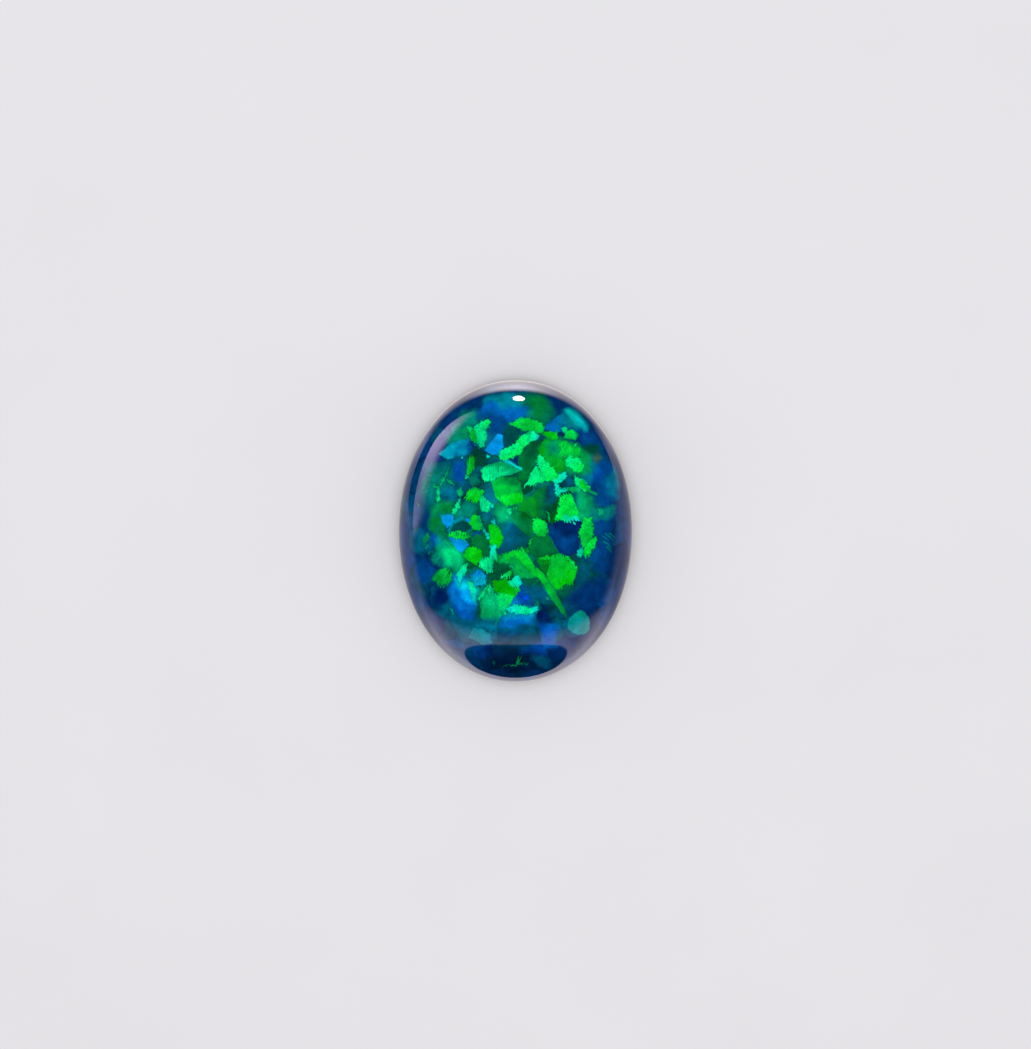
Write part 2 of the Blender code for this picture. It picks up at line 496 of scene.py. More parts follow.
soft_patch, given = new_group("soft_patch", (
    ("Under", "Color"), ("Tone", "Color"), ("Strength", "Float"), ("Plan", "Vector"),
    ("Long axis", "Vector"), ("Short axis", "Vector")))
along = add(soft_patch, "VectorMath", "DOT_PRODUCT", {0: given["Plan"], 1: given["Long axis"]})
across = add(soft_patch, "VectorMath", "DOT_PRODUCT", {0: given["Plan"], 1: given["Short axis"]})
oval = add(soft_patch, "CombineXYZ", sockets={
    0: along.outputs["Value"], 1: across.outputs["Value"]}).outputs[0]
reach = add(soft_patch, "VectorMath", "LENGTH", {0: oval}).outputs["Value"]
falloff = ramped(soft_patch, reach, 1.5, 0.4, 0.0, 1.0)
glow = add(soft_patch, "Math", "MULTIPLY", {0: falloff, 1: given["Strength"]}).outputs[0]
close_group(soft_patch, add(soft_patch, "Mix", {"data_type": "RGBA"}, {
    0: glow, 6: given["Under"], 7: given["Tone"]}).outputs[MIX_COLOUR_OUT])


def plan_axis(centre, turn, half_size):
    """The three numbers whose dot product with a plan point is 0 at the centre and 1 at the half size."""
    along = (math.cos(math.radians(turn)) / half_size, math.sin(math.radians(turn)) / half_size)
    return along[0], along[1], -(along[0] * centre[0] + along[1] * centre[1])


colour = mosaic
for tone_name, strength, centre, half_sizes, turn in GLOWS:
    colour = add(tree, "Group", {"node_tree": soft_patch}, {
        "Under": colour, "Tone": linear(TONES[tone_name]), "Strength": strength, "Plan": drifting,
        "Long axis": plan_axis(centre, turn, half_sizes[0]),
        "Short axis": plan_axis(centre, turn + 90, half_sizes[1])}).outputs[0]
print(len(GLOWS), "soft patches")

# %% [markdown]
# The flakes near the surface are sharp. Each is a convex outline of a few corners, read off an
# enlarged photograph with a millimetre grid. A point is inside it when it is behind all of its edges.
# A flake is rarely one colour: it turns from one tone to another along a heading in degrees. A row gives
# the kind of edge, the two tones, the heading and the corners. Later rows lie over earlier ones.

# %% Flakes that lie lower
LOWER_FLAKES = [
    ("clean", "jade", "teal", 250, ((-4.35, 6.0), (-3.75, 6.75), (-3.3, 6.9), (-3.05, 6.45), (-3.2, 6.1),
        (-4.0, 5.9))),
    ("clean", "cyan", "marine", -5, ((-5.0, 5.15), (-4.1, 5.95), (-3.1, 6.2), (-2.75, 5.6), (-2.95, 5.15),
        (-4.5, 4.8))),
    ("clean", "sky", "azure", 250, ((-2.0, 5.4), (-1.55, 6.05), (-1.2, 6.45), (-0.8, 6.4), (-0.75, 5.6),
        (-1.15, 5.1), (-1.6, 5.1))),
    ("deep", "teal", "teal", 0, ((0.8, 7.5), (0.85, 7.8), (1.1, 7.8), (1.12, 7.5))),
    ("clean", "cobalt", "sea", 10, ((1.93, 6.8), (2.1, 7.1), (2.7, 7.6), (3.3, 7.95), (3.6, 7.2), (3.0, 6.6),
        (2.4, 6.5))),
    ("deep", "sea", "teal", 30, ((3.1, 7.9), (3.8, 8.15), (4.5, 7.8), (4.8, 6.8), (4.0, 6.8), (3.0, 6.7))),
    ("deep", "aqua", "cyan", -60, ((3.2, 7.9), (3.55, 8.1), (3.95, 8.05), (4.65, 7.0), (4.65, 6.7),
        (4.35, 6.7), (3.9, 7.3))),
    ("clean", "fern", "pine", 60, ((0.15, 3.4), (0.2, 5.0), (0.9, 5.95), (1.85, 6.15), (1.55, 5.1),
        (0.9, 3.5))),
    ("deep", "leaf", "jade", -20, ((1.6, 5.5), (1.95, 6.05), (3.0, 6.15), (4.0, 5.8), (4.8, 5.0), (4.9, 4.2),
        (4.2, 3.8), (2.6, 3.9), (1.7, 4.9))),
    ("clean", "moss", "leaf", 0, ((1.5, 5.1), (1.75, 5.9), (1.95, 6.1), (2.3, 6.0), (2.1, 5.4),
        (1.75, 4.95))),
    ("deep", "teal", "jade", 0, ((2.1, 5.7), (2.6, 6.0), (2.95, 5.6), (2.8, 5.1), (2.3, 5.2))),
    ("comb rise", "leaf", "moss", -40, ((1.9, 5.0), (2.4, 5.0), (3.2, 4.6), (3.3, 4.1), (2.6, 3.9),
        (2.1, 4.4))),
    ("clean", "moss", "bottle", -8, ((0.0, 1.6), (0.55, 2.4), (1.35, 2.75), (1.8, 3.25), (2.6, 3.2),
        (2.6, 2.4), (2.1, 0.85), (1.0, 1.0), (0.25, 1.45))),
    ("deep", "jade", "moss", -20, ((0.0, 1.65), (0.5, 2.35), (0.8, 2.3), (0.6, 1.45), (0.3, 1.45))),
    ("deep", "marine", "petrol", 0, ((2.3, 3.0), (2.62, 3.05), (2.6, 2.2), (2.35, 1.9))),
    ("clean", "jade", "olive", 20, ((-0.3, 0.9), (0.0, 1.45), (0.6, 1.35), (1.05, 0.9), (1.15, 0.2),
        (0.9, -0.3), (0.2, -0.1))),
    ("clean", "petrol", "bottle", -30, ((-0.45, 0.8), (0.9, -0.3), (0.85, -1.0), (0.3, -1.15), (-1.1, -1.6),
        (-1.2, -1.0))),
    ("deep", "sea", "petrol", -40, ((-0.85, 0.1), (-0.5, 0.9), (-0.2, 0.6), (-0.35, -0.6), (-0.85, -0.8))),
    ("clean", "fern", "forest", -60, ((1.1, -0.2), (2.1, -0.1), (2.95, -1.5), (2.4, -1.65), (1.5, -1.75),
        (0.7, -1.3))),
    ("clean", "teal", "jade", -60, ((2.1, -0.05), (2.2, -0.1), (2.97, -1.42), (2.86, -1.45))),
    ("clean", "ink", "navy", 270, ((2.1, 0.7), (4.4, 0.8), (4.35, -0.4), (4.15, -1.35), (3.6, -1.55),
        (2.95, -1.45), (2.1, 0.0))),
    ("deep", "marine", "navy", -50, ((2.15, 0.5), (2.4, 0.5), (3.1, -0.2), (2.8, -0.7), (2.3, -0.2))),
    ("deep", "marine", "navy", -60, ((2.7, -0.6), (3.0, -0.25), (4.1, -0.3), (4.1, -1.3), (3.1, -1.35))),
    ("comb rise", "olive", "pine", 90, ((2.1, 1.7), (2.8, 2.15), (2.95, 1.4), (2.6, 0.65), (2.2, 0.65))),
    ("crumb", "leaf", "emerald", 0, ((3.5, 2.85), (3.9, 3.0), (4.3, 2.85), (4.2, 2.55), (3.7, 2.6))),
    ("deep", "jade", "emerald", 200, ((4.0, 2.7), (4.5, 2.7), (4.9, 2.2), (4.9, 1.1), (4.5, 0.8), (4.2, 1.0),
        (4.1, 1.9))),
    ("crumb", "lagoon", "teal", -60, ((-4.5, 0.05), (-4.3, 0.75), (-3.6, 1.0), (-2.95, 0.85), (-2.85, 0.1),
        (-3.5, -0.1))),
    ("clean", "bottle", "bottle", 0, ((-4.3, 0.15), (-4.1, 0.58), (-3.5, 0.75), (-3.0, 0.62), (-2.95, 0.15),
        (-3.5, 0.0))),
    ("clean", "royal", "marine", 0, ((-2.98, -0.35), (-2.65, 0.02), (-2.2, 0.1), (-2.5, -0.25))),
    ("clean", "fern", "forest", -60, ((-3.0, -0.45), (-2.6, -0.1), (-1.85, -0.35), (-1.7, -1.0),
        (-1.8, -1.6), (-2.3, -1.65), (-2.85, -1.0))),
    ("comb fall", "jade", "leaf", 60, ((-1.4, -1.75), (-0.7, -1.45), (0.3, -1.2), (0.9, -1.9), (2.3, -3.3),
        (1.2, -3.7), (0.2, -3.1), (-1.0, -3.1), (-1.5, -2.6))),
    ("comb fall", "forest", "pine", 270, ((-1.4, -1.95), (-0.4, -2.1), (-0.15, -2.8), (-0.8, -3.1),
        (-1.45, -2.7))),
    ("comb up", "moss", "forest", 270, ((1.35, -1.75), (2.45, -1.6), (2.45, -2.2), (2.0, -2.85),
        (1.65, -2.5))),
    ("crumb", "leaf", "grass", 0, ((1.5, -1.7), (2.5, -1.5), (2.5, -1.7), (1.6, -1.86))),
    ("deep", "fern", "bottle", -45, ((2.6, -3.6), (3.2, -3.4), (4.0, -3.0), (4.1, -3.6), (3.3, -4.4),
        (2.9, -4.2))),
    ("deep", "bottle", "petrol", -50, ((3.6, -1.6), (4.3, -1.5), (5.0, -2.2), (4.6, -3.1), (4.0, -2.8))),
    ("comb rise", "emerald", "jade", 250, ((-2.5, -4.2), (-1.95, -3.5), (-1.5, -3.7), (-1.0, -4.6),
        (-0.85, -5.5), (-1.2, -6.2), (-2.3, -5.9), (-2.6, -5.0))),
    ("deep", "emerald", "jade", 250, ((-2.1, -4.5), (-1.4, -4.2), (-0.95, -4.8), (-1.1, -5.8),
        (-2.0, -5.7))),
    ("comb rise", "bottle", "pine", 0, ((-2.7, -4.7), (-2.45, -4.4), (-2.25, -4.9), (-2.3, -5.5),
        (-2.65, -5.6))),
    ("deep", "petrol", "sea", 270, ((-2.65, -5.8), (-1.1, -5.7), (-1.3, -6.5), (-2.75, -6.4))),
    ("clean", "lagoon", "sea", 300, ((-3.1, -7.0), (-2.8, -6.35), (-2.35, -6.4), (-1.7, -6.75), (-1.5, -7.4),
        (-2.1, -7.5))),
    ("clean", "marine", "ink", -60, ((-2.9, -7.6), (-1.5, -7.4), (-1.6, -8.0), (-2.1, -8.5), (-2.7, -8.2))),
    ("deep", "royal", "cobalt", 270, ((1.6, -6.1), (2.6, -6.3), (2.75, -6.7), (2.65, -7.6), (1.95, -7.6))),
    ("clean", "teal", "lagoon", 250, ((3.46, -6.1), (3.58, -5.7), (3.88, -5.38), (4.28, -5.22), (4.62, -5.36),
        (4.88, -5.68), (4.99, -6.08), (4.9, -6.46), (4.6, -6.74), (4.2, -6.85), (3.8, -6.74), (3.54, -6.46))),
    ("deep", "azure", "royal", 280, ((-4.4, -3.9), (-4.15, -2.8), (-3.4, -2.9), (-2.65, -3.6), (-2.6, -5.0),
        (-2.9, -5.75), (-3.6, -5.6), (-4.2, -4.8))),
    ("deep", "aqua", "sky", 235, ((-3.9, -3.3), (-3.0, -3.2), (-2.6, -3.7), (-2.6, -4.7), (-3.1, -4.7),
        (-3.6, -4.2))),
    ("comb rise", "cobalt", "cyan", 280, ((-3.05, -2.8), (-2.5, -2.5), (-1.95, -2.9), (-2.05, -3.5),
        (-2.7, -3.6))),
    ("clean", "azure", "sky", 250, ((-4.5, -0.35), (-3.3, -0.45), (-3.1, -0.85), (-3.7, -1.5),
        (-4.05, -0.9))),
    ("clean", "sky", "azure", 250, ((-5.25, 1.25), (-4.12, 1.1), (-4.08, 0.75), (-4.65, 0.2), (-4.8, 0.65))),
    ("deep", "jade", "fern", 0, ((-5.6, 1.6), (-5.0, 2.1), (-4.1, 2.0), (-3.95, 1.2), (-4.8, 1.15),
        (-5.5, 1.2))),
    ("clean", "emerald", "jade", 90, ((-2.2, 4.05), (-1.95, 4.4), (-0.9, 4.7), (0.5, 4.1), (0.0, 3.9),
        (-0.7, 3.75))),
    ("clean", "cyan", "aqua", 0, ((-1.05, 4.92), (-0.8, 4.85), (0.45, 4.25), (0.45, 4.05), (-0.6, 4.55))),
    ("clean", "navy", "navy", 0, ((-0.45, 4.8), (0.15, 4.95), (0.15, 4.42), (-0.2, 4.6))),
    ("comb rise", "leaf", "fern", 200, ((-5.6, -3.15), (-5.3, -2.7), (-4.55, -2.3), (-4.28, -2.9),
        (-4.3, -3.3), (-4.6, -3.5), (-5.2, -3.5))),
    ("comb rise", "fern", "jade", 90, ((-6.15, -0.4), (-5.85, -0.05), (-5.72, -0.4), (-6.0, -0.95))),
    ("deep", "jade", "emerald", -40, ((-1.3, 1.9), (-0.6, 1.85), (-0.3, 1.5), (-0.35, 0.75), (-1.0, 0.7),
        (-1.3, 1.2))),
    ("comb up", "leaf", "moss", 0, ((-3.2, 3.6), (-3.18, 4.6), (-2.95, 5.1), (-2.75, 5.0), (-2.7, 4.1),
        (-3.05, 3.8))),
    ("crumb", "emerald", "jade", 0, ((-3.85, 2.75), (-3.55, 2.98), (-3.45, 2.6), (-3.55, 2.2))),
    ("comb fall", "teal", "emerald", -45, ((-5.3, -1.0), (-4.6, -0.55), (-4.2, -1.0), (-4.6, -1.5),
        (-5.1, -1.3))),
    ("deep", "mint", "emerald", -60, ((-4.7, -1.2), (-4.1, -1.1), (-3.8, -1.7), (-3.9, -2.2), (-4.6, -2.1))),
    ("deep", "bronze", "petrol", 200, ((5.0, 4.95), (5.3, 5.12), (5.6, 4.92), (5.42, 4.7), (5.1, 4.7))),
    ("deep", "cyan", "cobalt", 270, ((-0.75, -5.4), (0.0, -5.0), (1.3, -5.0), (1.2, -5.7), (0.2, -6.0),
        (-0.6, -5.9))),
    ("deep", "azure", "cobalt", -30, ((-0.35, -4.6), (0.05, -4.35), (0.4, -4.6), (0.2, -4.95),
        (-0.3, -4.95))),
    ("comb fall", "teal", "bottle", -60, ((1.2, -4.75), (1.45, -4.55), (1.75, -4.95), (1.6, -5.2))),
    ("crumb", "sapphire", "royal", 0, ((0.48, -4.35), (0.6, -4.2), (0.8, -4.22), (0.97, -4.4), (0.8, -4.58),
        (0.55, -4.52))),
]
print(len(LOWER_FLAKES), "flakes lie lower")

# %% [markdown]
# The brightest flakes lie just under the polish, over the others. The same kind of row draws them: first
# the branching flakes and the feathered strip of the upper half, then the right, the centre, and the
# cascade of yellow-green that falls into blue at the lower end.

# %% Flakes just under the polish
UPPER_FLAKES = [
    ("crumb", "mint", "leaf", -20, ((-3.65, 6.78), (-3.2, 6.98), (-2.5, 6.75), (-2.4, 6.2), (-2.9, 6.05),
        (-3.05, 6.5))),
    ("crumb", "leaf", "grass", 0, ((-3.05, 6.6), (-2.45, 6.8), (-2.3, 6.2), (-2.6, 5.95), (-3.0, 6.15))),
    ("crumb", "mint", "emerald", 270, ((-2.65, 6.95), (-2.3, 7.2), (-1.92, 7.15), (-1.93, 6.3), (-2.05, 5.6),
        (-2.35, 5.5), (-2.5, 6.0))),
    ("crumb", "mint", "spring", 0, ((-2.3, 7.25), (-1.8, 7.42), (-1.68, 7.2), (-1.85, 6.85), (-2.35, 6.95))),
    ("crumb", "leaf", "spring", 90, ((-0.4, 7.12), (0.07, 7.36), (0.76, 7.52), (1.2, 7.42), (1.75, 7.1),
        (1.95, 6.7), (1.5, 6.52), (0.9, 6.55))),
    ("crumb", "moss", "grass", 0, ((1.7, 6.5), (2.1, 6.6), (2.75, 6.6), (2.8, 6.2), (2.4, 6.05),
        (1.9, 6.25))),
    ("crumb", "spring", "mint", 45, ((-0.1, 5.75), (0.4, 6.3), (1.05, 6.6), (1.2, 6.1), (0.5, 5.5),
        (0.2, 5.5))),
    ("crumb", "mint", "aqua", 0, ((0.95, 6.5), (1.1, 6.62), (1.6, 6.35), (1.2, 6.05), (0.95, 6.0))),
    ("crumb", "spring", "mint", 120, ((-1.1, 5.2), (-0.8, 5.45), (0.1, 5.85), (0.5, 5.6), (0.3, 5.15),
        (-0.5, 4.78), (-1.05, 4.82))),
    ("comb up", "mint", "emerald", 30, ((-2.3, 4.0), (-1.9, 4.4), (-1.0, 4.3), (-0.1, 4.1), (-1.0, 3.6),
        (-1.7, 3.25), (-2.15, 3.4))),
    ("clean", "spring", "fern", 65, ((-1.6, 3.3), (-0.9, 3.65), (0.0, 3.6), (0.35, 3.2), (0.5, 2.4),
        (0.1, 1.85), (-0.8, 1.85), (-1.4, 2.4))),
    ("comb up", "spring", "lime", 0, ((-1.1, 2.5), (0.45, 2.6), (0.5, 2.1), (0.1, 1.75), (-0.8, 1.8))),
    ("comb rise", "lime", "spring", 80, ((-3.25, 2.5), (-3.05, 2.8), (-2.6, 2.9), (-2.1, 2.65), (-2.3, 2.1),
        (-2.9, 1.95), (-3.2, 2.2))),
    ("comb up", "emerald", "mint", -10, ((-2.4, 2.1), (-2.2, 2.4), (-1.9, 2.15), (-1.6, 1.85), (-1.9, 1.2),
        (-2.25, 1.35))),
    ("comb rise", "mint", "spring", -20, ((0.55, 2.35), (0.6, 2.95), (0.95, 3.9), (1.25, 4.25), (1.9, 4.15),
        (2.5, 3.4), (1.75, 3.25), (1.3, 2.7))),
    ("crumb", "mint", "spring", -50, ((1.3, 4.75), (1.5, 5.08), (1.75, 4.98), (2.4, 4.35), (2.8, 3.75),
        (2.6, 3.35), (2.0, 3.35), (1.65, 4.1))),
    ("comb rise", "spring", "leaf", -60, ((2.85, 6.1), (3.3, 5.9), (4.0, 5.78), (4.35, 5.2), (4.0, 4.75),
        (3.4, 4.85), (2.95, 5.3))),
    ("crumb", "mint", "spring", -40, ((3.2, 4.7), (3.6, 5.02), (4.1, 4.9), (4.5, 4.35), (4.2, 3.9),
        (3.8, 4.05), (3.4, 4.35))),
    ("crumb", "mint", "emerald", -60, ((3.0, 6.85), (3.3, 6.95), (3.5, 6.6), (3.3, 6.3), (3.15, 6.6))),
    ("clean", "spring", "jade", -10, ((3.25, 6.2), (3.9, 6.13), (4.15, 6.45), (3.7, 6.72), (3.35, 6.65))),
    ("crumb", "mint", "aqua", 0, ((2.42, 3.42), (2.9, 3.78), (3.3, 3.95), (3.45, 3.65), (3.05, 3.3),
        (2.65, 3.15))),
    ("crumb", "aqua", "mint", 270, ((2.58, 3.15), (2.8, 3.12), (3.05, 2.65), (2.95, 2.33), (2.7, 2.45))),
    ("crumb", "aqua", "emerald", 0, ((2.85, 2.82), (3.55, 2.9), (3.45, 2.65), (2.95, 2.5))),
    ("crumb", "mint", "spring", -30, ((3.82, 3.7), (4.0, 3.65), (4.45, 3.42), (4.95, 2.9), (4.6, 2.72),
        (4.2, 2.92), (3.95, 3.15))),
    ("crumb", "lime", "grass", 0, ((4.2, 3.3), (4.5, 3.28), (4.6, 3.0), (4.3, 2.98))),
    ("clean", "leaf", "jade", -30, ((4.6, 3.1), (5.42, 2.5), (5.35, 2.45), (4.7, 2.8))),
    ("comb fall", "spring", "spring", -60, ((2.95, 2.25), (3.2, 2.45), (3.95, 2.55), (4.25, 2.1), (4.15, 1.3),
        (4.35, 0.8), (3.3, 0.8), (2.6, 0.7), (2.75, 1.3))),
    ("comb fall", "mint", "aqua", -60, ((3.0, 0.9), (3.35, 1.1), (3.95, 1.1), (4.35, 0.72), (3.1, 0.7))),
    ("crumb", "emerald", "leaf", -60, ((2.02, 1.42), (2.14, 1.42), (2.28, 0.95), (2.2, 0.7), (2.12, 1.0))),
    ("crumb", "spring", "leaf", -30, ((4.42, 0.7), (4.6, 1.0), (5.05, 0.95), (5.1, 0.3), (5.1, -0.3),
        (4.75, -0.95), (4.45, -0.95), (4.18, -0.1))),
    ("crumb", "spring", "grass", -60, ((4.95, -0.4), (5.3, -0.3), (5.48, -0.6), (5.15, -1.1), (4.85, -1.88),
        (4.58, -1.65), (4.55, -1.1))),
    ("crumb", "aqua", "emerald", 0, ((4.05, -1.3), (4.35, -1.0), (4.55, -1.3), (4.4, -1.68), (4.12, -1.6))),
    ("crumb", "spring", "leaf", -60, ((1.12, 0.85), (1.45, 0.98), (2.0, 0.65), (2.18, 0.1), (1.9, -0.25),
        (1.6, -0.35), (1.15, 0.0))),
    ("crumb", "leaf", "leaf", 0, ((0.88, -0.5), (1.1, -0.38), (1.08, -0.8), (0.88, -1.0))),
    ("crumb", "moss", "leaf", 0, ((0.68, -1.2), (0.85, -1.05), (0.85, -1.35), (0.72, -1.4))),
    ("crumb", "grass", "lime", -30, ((-1.8, 0.4), (-1.42, 0.62), (-1.0, 0.1), (-0.8, -0.3), (-1.0, -0.9),
        (-1.25, -1.1), (-1.62, -1.1), (-1.75, -0.2))),
    ("comb up", "mint", "aqua", 90, ((-1.6, -0.9), (-1.28, -0.9), (-1.2, -1.75), (-1.7, -1.75))),
    ("crumb", "aqua", "lagoon", 90, ((-1.52, 0.95), (-1.36, 0.9), (-1.28, 0.45), (-1.5, 0.5))),
    ("comb up", "mint", "emerald", 0, ((-2.42, -2.0), (-2.2, -1.65), (-1.5, -1.6), (-1.45, -2.1),
        (-1.6, -2.75), (-2.0, -2.6))),
    ("crumb", "grass", "leaf", -60, ((-3.2, 0.8), (-2.7, 1.2), (-2.4, 1.05), (-2.22, 0.6), (-2.35, 0.15),
        (-2.8, 0.12))),
    ("crumb", "emerald", "teal", -50, ((-2.5, 1.1), (-2.38, 1.05), (-2.08, 0.3), (-2.2, 0.2))),
    ("crumb", "teal", "aqua", -40, ((-2.2, 0.3), (-2.1, 0.32), (-1.72, -0.25), (-1.82, -0.38))),
    ("comb up", "spring", "grass", 0, ((-4.48, -0.3), (-4.25, 0.1), (-3.7, -0.02), (-3.3, -0.02),
        (-3.0, -0.4), (-3.6, -0.52))),
    ("crumb", "grass", "lime", 0, ((-3.5, -1.6), (-3.2, -1.05), (-2.85, -0.95), (-2.3, -1.15), (-2.1, -1.7),
        (-2.6, -2.08), (-3.05, -1.85))),
    ("comb up", "leaf", "lime", -60, ((2.05, -2.8), (2.35, -1.65), (2.95, -1.42), (3.45, -1.65),
        (4.12, -2.42), (3.85, -3.3), (2.65, -3.85), (2.3, -3.4))),
    ("crumb", "spring", "spring", 0, ((3.3, -1.55), (3.45, -1.6), (4.12, -2.4), (4.0, -2.42), (3.4, -1.8))),
    ("comb rise", "leaf", "grass", 60, ((-0.95, -1.7), (-0.6, -1.4), (0.3, -1.1), (0.5, -1.3), (0.3, -1.7),
        (-0.3, -1.8))),
    ("comb fall", "grass", "spring", 60, ((0.05, -1.5), (0.45, -1.12), (0.9, -1.7), (1.25, -2.3),
        (0.9, -2.55))),
    ("comb fall", "grass", "leaf", 60, ((0.85, -2.3), (1.15, -2.1), (1.55, -2.45), (2.3, -3.3), (1.9, -3.4),
        (1.3, -2.9))),
    ("clean", "leaf", "fern", 20, ((1.95, -3.5), (2.2, -3.4), (2.6, -3.95), (2.98, -4.6), (3.28, -5.2),
        (3.47, -5.8), (3.1, -5.35), (2.5, -4.65), (2.1, -4.1))),
    ("deep", "leaf", "leaf", 0, ((1.75, -3.15), (2.15, -3.1), (2.5, -3.6), (2.45, -4.0), (2.1, -3.85))),
    ("crumb", "moss", "lime", -20, ((-1.5, -3.2), (-0.6, -3.05), (0.2, -3.5), (0.28, -3.85), (-0.1, -4.35),
        (-0.9, -4.4), (-1.4, -3.9))),
    ("comb rise", "spring", "emerald", 220, ((-1.4, -4.1), (-0.5, -4.1), (-0.05, -4.3), (-0.75, -5.5),
        (-1.15, -5.1), (-1.4, -4.5))),
    ("comb fall", "mint", "aqua", 30, ((-0.5, -3.35), (0.05, -2.95), (0.2, -2.92), (0.4, -3.3),
        (0.28, -3.65), (-0.2, -3.72))),
    ("crumb", "mint", "aqua", 190, ((-0.6, -5.1), (-0.15, -4.8), (0.3, -4.78), (0.95, -5.08), (0.95, -5.38),
        (0.3, -5.45), (-0.35, -5.35))),
    ("crumb", "mint", "cyan", 20, ((0.7, -5.12), (1.4, -4.85), (1.55, -5.0), (1.4, -5.28), (0.8, -5.45))),
    ("comb rise", "aqua", "mint", 90, ((-4.0, -2.9), (-3.6, -2.3), (-3.15, -2.15), (-3.3, -2.8),
        (-3.75, -3.5))),
    ("comb up", "mint", "cyan", 230, ((-3.2, -3.3), (-2.8, -3.4), (-2.6, -3.9), (-2.6, -4.6), (-2.85, -4.6),
        (-3.0, -4.0))),
    ("crumb", "mint", "emerald", 60, ((-2.5, -4.4), (-2.0, -3.65), (-1.9, -3.75), (-2.4, -4.55))),
    ("crumb", "mint", "emerald", 80, ((-1.85, -4.0), (-1.65, -3.35), (-1.6, -3.8), (-1.7, -4.15))),
    ("clean", "mint", "emerald", 270, ((-5.14, 3.02), (-4.99, 3.02), (-4.98, 2.15), (-5.15, 2.15))),
    ("crumb", "emerald", "jade", 90, ((-5.08, 2.95), (-4.8, 3.2), (-4.3, 4.4), (-4.52, 4.1))),
    ("crumb", "emerald", "jade", 180, ((-5.45, 3.18), (-5.05, 3.04), (-5.05, 2.92), (-5.4, 3.04))),
    ("crumb", "emerald", "jade", -40, ((-4.5, 3.5), (-4.15, 3.42), (-3.98, 3.15), (-4.2, 3.2))),
    ("crumb", "mint", "emerald", 240, ((-3.78, 2.1), (-3.56, 2.2), (-3.75, 1.6), (-4.05, 1.08),
        (-4.2, 1.25))),
    ("crumb", "mint", "emerald", 180, ((-0.62, 1.5), (-0.3, 1.62), (-0.25, 1.1), (-0.5, 1.15))),
    ("crumb", "emerald", "teal", 0, ((5.4, 1.55), (5.75, 1.6), (5.85, 1.15), (5.5, 1.1))),
    ("comb rise", "jade", "fern", 0, ((-0.05, -8.85), (0.15, -8.8), (0.4, -8.28), (0.22, -8.3))),
    ("crumb", "jade", "bottle", 0, ((-0.5, -8.9), (0.85, -8.8), (0.8, -8.72), (0.2, -8.75))),
    ("comb up", "mint", "spring", 0, ((-1.0, -2.9), (-0.3, -2.6), (-0.25, -2.85), (-0.9, -3.1))),
    ("crumb", "teal", "lagoon", 0, ((-4.42, -5.05), (-4.25, -5.08), (-3.98, -5.48), (-4.15, -5.45))),
    ("crumb", "teal", "petrol", 40, ((-5.95, -1.0), (-5.55, -0.6), (-5.48, -0.7), (-5.9, -1.12))),
    ("crumb", "teal", "petrol", 40, ((-5.8, -1.35), (-5.4, -1.12), (-5.4, -1.22), (-5.75, -1.45))),
]
print(len(LOWER_FLAKES), "lower flakes and", len(UPPER_FLAKES), "upper flakes")

# %% [markdown]
# Between the flakes lie crumbs a fifth of a millimetre across, and near the right edge five faint
# slanting strokes. A crumb needs only a tone, a place and a radius, and becomes a small hexagon.

# %% Crumbs and strokes
CRUMBS = [
    ("mint", (-3.23, 3.66), 0.1), ("aqua", (-3.5, 4.9), 0.08), ("aqua", (-1.85, 4.96), 0.09),
    ("mint", (3.95, 5.72), 0.1), ("aqua", (-1.52, 1.76), 0.11), ("aqua", (-1.81, -0.3), 0.1),
    ("teal", (-5.17, -1.73), 0.11), ("mint", (-5.06, 2.2), 0.14), ("teal", (-5.67, 3.73), 0.13),
    ("teal", (-6.1, 2.9), 0.12), ("teal", (-6.45, 1.8), 0.12), ("bottle", (-1.4, -8.7), 0.12),
    ("aqua", (-1.7, -0.92), 0.09), ("emerald", (-0.28, -2.25), 0.1), ("mint", (-0.65, -5.4), 0.11),
    ("teal", (2.12, -4.38), 0.12), ("spring", (4.85, -1.3), 0.13), ("mint", (-3.84, 1.78), 0.14),
    ("aqua", (-3.66, 2.08), 0.1), ("azure", (-3.2, 0.82), 0.12),
]
STROKE_WIDTH = 0.09
STROKES = [((5.78, -0.25), 0.5), ((5.95, -0.08), 0.75), ((6.2, -0.05), 0.5), ((5.82, -0.6), 0.75),
           ((6.0, -0.98), 0.5)]
SMALL_FLAKES = []
for tone_name, (u, v), radius in CRUMBS:
    turns = [math.tau * i / 6 for i in range(6)]
    hexagon = tuple((u + radius * math.cos(t), v + radius * math.sin(t)) for t in turns)
    SMALL_FLAKES.append(("crumb", tone_name, tone_name, 0, hexagon))
for (u, v), length in STROKES:
    reach = length * math.sqrt(0.5)
    stroke = ((u, v), (u + STROKE_WIDTH, v), (u + reach, v - reach + STROKE_WIDTH), (u + reach, v - reach))
    SMALL_FLAKES.append(("clean", "teal", "petrol", -45, stroke))
print(len(SMALL_FLAKES), "crumbs and strokes")


# %% [markdown]
# An edge is a dot product: its outward direction and its offset are the three numbers, the plan point's
# third number is 1, and the result is the distance outside that edge. The largest of them says how far
# outside the whole flake a point is. A flake shades what lies just beside it, which gives the stone depth.

# %% Lay the flakes
SHADE_REACH = 0.16
SHADE = linear("#7d8c90")


